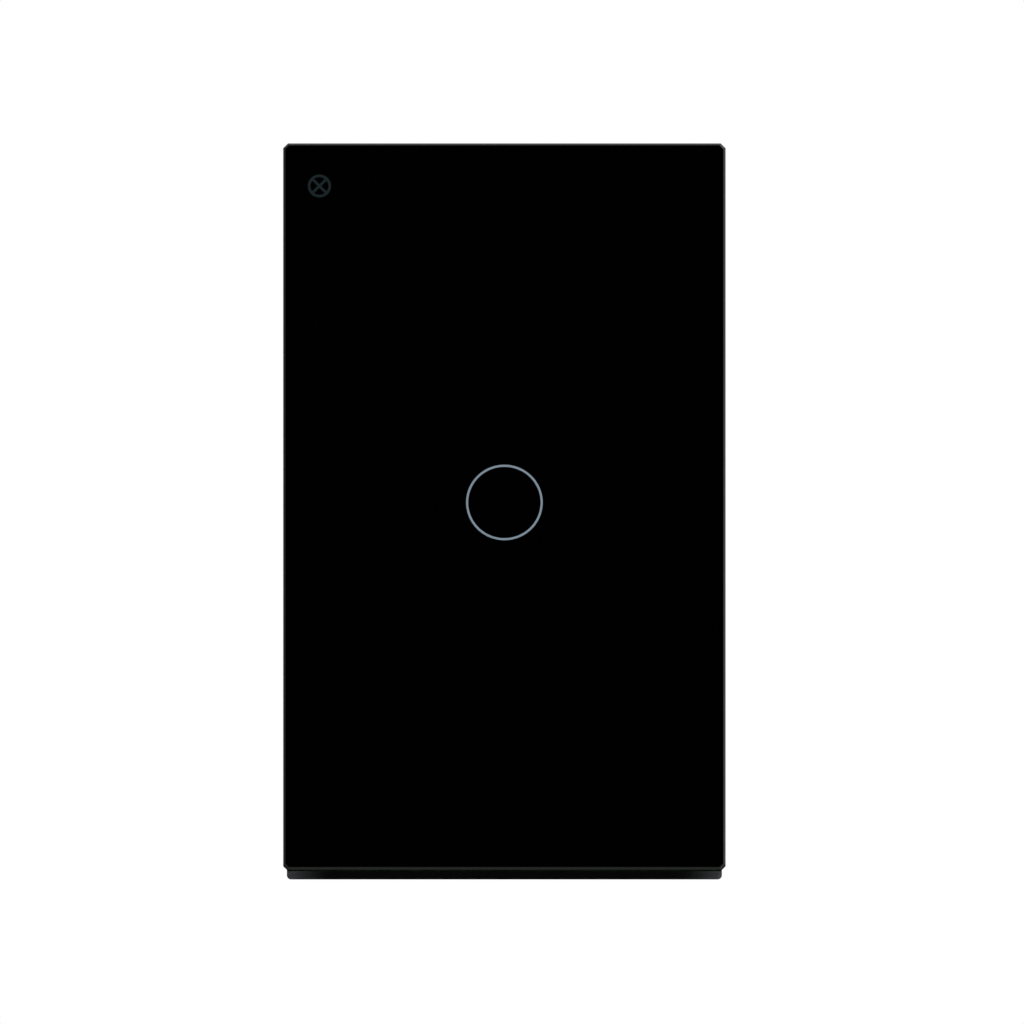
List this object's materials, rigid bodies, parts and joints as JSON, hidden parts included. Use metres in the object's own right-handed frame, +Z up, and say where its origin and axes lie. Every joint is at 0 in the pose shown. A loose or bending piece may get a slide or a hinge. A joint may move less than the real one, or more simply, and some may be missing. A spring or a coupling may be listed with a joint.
{
  "type": "smart light switch",
  "caption": "Upright black glass touch light switch with a pale touch ring, over a plastic frame, a mounting plate and a wired module that sinks into a wall box.",
  "frame": {"origin": "midway between the two mounting slots, on the wall plane at the back of the mounting plate", "axes": "+Z up the wall, +Y into the wall, and the glass faces -Y"},
  "size_m": [0.072, 0.0349, 0.12],
  "materials": {
    "black_glass": "polished, black behind",
    "black_ink": "satin ink",
    "ring_enamel": "fired enamel",
    "symbol_enamel": "fired enamel",
    "black_tape": "foam tape",
    "black_plastic": "fine spark texture",
    "grey_plastic": "fine spark texture",
    "zinc_steel": "zinc plated",
    "spring_steel": "bright drawn wire",
    "soft_iron": "nickel plated",
    "nickel_silver": "bright sheet",
    "tinned_brass": "tin plated",
    "spring_bronze": "rolled strip",
    "silver_alloy": "satin",
    "gold_plate": "thin gold plate",
    "copper_wire": "enamelled copper",
    "clear_film": "clear film",
    "milky_plastic": "milky",
    "black_board": "solder mask",
    "blue_board": "solder mask",
    "green_board": "solder mask",
    "black_epoxy": "moulded epoxy",
    "white_epoxy": "moulded epoxy",
    "ceramic": "ceramic with tinned ends",
    "black_nylon": "moulded nylon",
    "dark_nylon": "moulded nylon",
    "can_sleeve": "shrink sleeve",
    "yellow_box": "potted box",
    "blue_epoxy": "dipped epoxy",
    "green_enamel": "enamel",
    "ferrite": "ground ferrite",
    "yellow_tape": "film tape",
    "blue_plastic": "moulded"
  },
  "bodies": {
    "base": {"mounting_plate": "black_plastic", "rear_housing": "grey_plastic", "housing_screws": "zinc_steel", "insulating_sheet": "clear_film", "touch_board": "black_board", "touch_board_screws": "zinc_steel", "light_guide": "milky_plastic", "indicator_leds": "milky_plastic", "touch_spring": "spring_steel", "radio_board": "blue_board", "radio_shield": "nickel_silver", "touch_chip": "black_epoxy", "touch_board_parts": "ceramic", "pin_header": "black_nylon", "header_pins": "gold_plate", "header_socket": "black_nylon", "socket_contacts": "gold_plate", "power_board": "green_board", "filter_capacitors": "can_sleeve", "output_capacitor": "can_sleeve", "safety_capacitor": "yellow_box", "varistor": "blue_epoxy", "fuse_resistor": "green_enamel", "power_chip": "black_epoxy", "rectifier": "black_epoxy", "optocoupler": "white_epoxy", "regulator": "black_epoxy", "filter_choke": "ferrite", "choke_winding": "copper_wire", "power_board_parts": "ceramic", "transformer_core": "ferrite", "transformer_bobbin": "black_nylon", "transformer_winding": "yellow_tape", "relay_cover": "blue_plastic", "relay_base": "blue_plastic", "relay_yoke": "soft_iron", "relay_core": "soft_iron", "relay_bobbin": "black_nylon", "relay_winding": "copper_wire", "relay_coil_pins": "tinned_brass", "relay_fixed_contact": "tinned_brass", "terminal_body": "dark_nylon", "terminal_bars": "tinned_brass"},
    "front_panel": {"glass_panel": "black_glass", "ink_layer": "black_ink", "touch_ring": "ring_enamel", "lamp_symbol": "symbol_enamel", "panel_tape": "black_tape", "panel_frame": "black_plastic"},
    "armature": {"relay_armature": "soft_iron", "relay_contact_blade": "spring_bronze", "relay_moving_contact": "silver_alloy"},
    "screw_1": {"terminal_screw_1": "zinc_steel"},
    "cage_1": {"terminal_cage_1": "zinc_steel"},
    "screw_2": {"terminal_screw_2": "zinc_steel"},
    "cage_2": {"terminal_cage_2": "zinc_steel"},
    "screw_3": {"terminal_screw_3": "zinc_steel"},
    "cage_3": {"terminal_cage_3": "zinc_steel"}
  },
  "joints": [
    {"name": "panel_lift", "type": "slide", "parent": "base", "child": "front_panel", "axis": [0, -1, 0], "range_m": [0, 0.025]},
    {"name": "relay_pull_in", "type": "hinge", "parent": "base", "child": "armature", "pos_m": [-0.01065, 0.0156, -0.00295], "axis": [1, 0, 0], "range_deg": [-4, 0], "stiffness_Nm_per_rad": 0.002, "springref_deg": 5.73},
    {"name": "screw_1_turn", "type": "hinge", "parent": "base", "child": "screw_1", "pos_m": [-0.00762, 0.0154, -0.0256], "axis": [0, -1, 0], "range_deg": [0, 2160.1]},
    {"name": "cage_1_rise", "type": "slide", "parent": "base", "child": "cage_1", "axis": [0, 1, 0], "range_m": [0, 0.003]},
    {"name": "screw_2_turn", "type": "hinge", "parent": "base", "child": "screw_2", "pos_m": [0, 0.0154, -0.0256], "axis": [0, -1, 0], "range_deg": [0, 2160.1]},
    {"name": "cage_2_rise", "type": "slide", "parent": "base", "child": "cage_2", "axis": [0, 1, 0], "range_m": [0, 0.003]},
    {"name": "screw_3_turn", "type": "hinge", "parent": "base", "child": "screw_3", "pos_m": [0.00762, 0.0154, -0.0256], "axis": [0, -1, 0], "range_deg": [0, 2160.1]},
    {"name": "cage_3_rise", "type": "slide", "parent": "base", "child": "cage_3", "axis": [0, 1, 0], "range_m": [0, 0.003]}
  ],
  "couplings": [
    {"joint": "screw_1_turn", "follows": "cage_1_rise", "rad_per_m": 12566},
    {"joint": "screw_2_turn", "follows": "cage_2_rise", "rad_per_m": 12566},
    {"joint": "screw_3_turn", "follows": "cage_3_rise", "rad_per_m": 12566}
  ]
}
